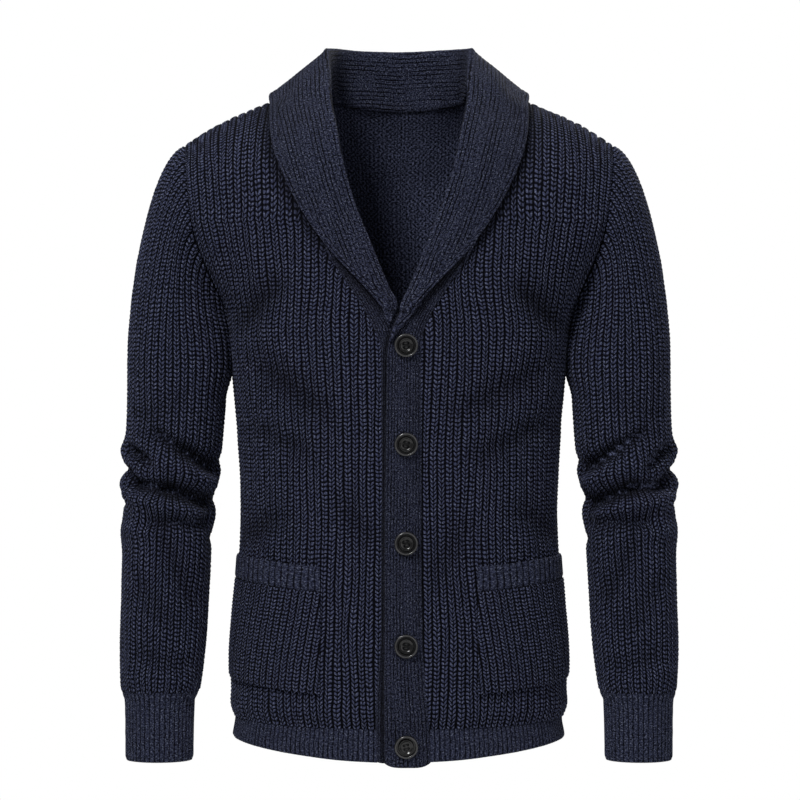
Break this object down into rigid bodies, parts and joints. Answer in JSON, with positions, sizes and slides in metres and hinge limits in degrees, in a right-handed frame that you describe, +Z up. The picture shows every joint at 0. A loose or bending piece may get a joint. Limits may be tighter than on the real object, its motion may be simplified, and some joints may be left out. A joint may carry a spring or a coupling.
{
  "type": "shawl collar cardigan",
  "caption": "Chunky ribbed cardigan with a rolled shawl collar, buttoned front bands and patch pockets, filled out as worn.",
  "frame": {"origin": "middle of the neck, level with the high points of the shoulder seams", "axes": "+Z up along the body, -Y towards the front, +X towards the wearer's left sleeve"},
  "size_m": [0.5778, 0.2468, 0.736],
  "materials": {
    "body_knit": "chunky half cardigan rib in marled navy yarn",
    "fine_rib": "fine close rib in the same navy yarn",
    "welt_rib": "firm narrow rib in the same navy yarn",
    "button": "polished near black"
  },
  "bodies": {
    "root": {"back_panel": "body_knit", "right_front": "body_knit", "left_front": "body_knit", "right_sleeve": "body_knit", "left_sleeve": "body_knit", "right_pocket": "body_knit", "left_pocket": "body_knit", "right_pocket_rib": "welt_rib", "left_pocket_rib": "welt_rib", "right_front_hem_rib": "welt_rib", "left_front_hem_rib": "welt_rib", "back_hem_rib": "welt_rib", "right_cuff_rib": "welt_rib", "left_cuff_rib": "welt_rib", "shawl_collar": "fine_rib", "buttonhole_band": "fine_rib", "button_band": "fine_rib", "button_1": "button", "button_2": "button", "button_3": "button", "button_4": "button", "button_5": "button"}
  },
  "joints": []
}
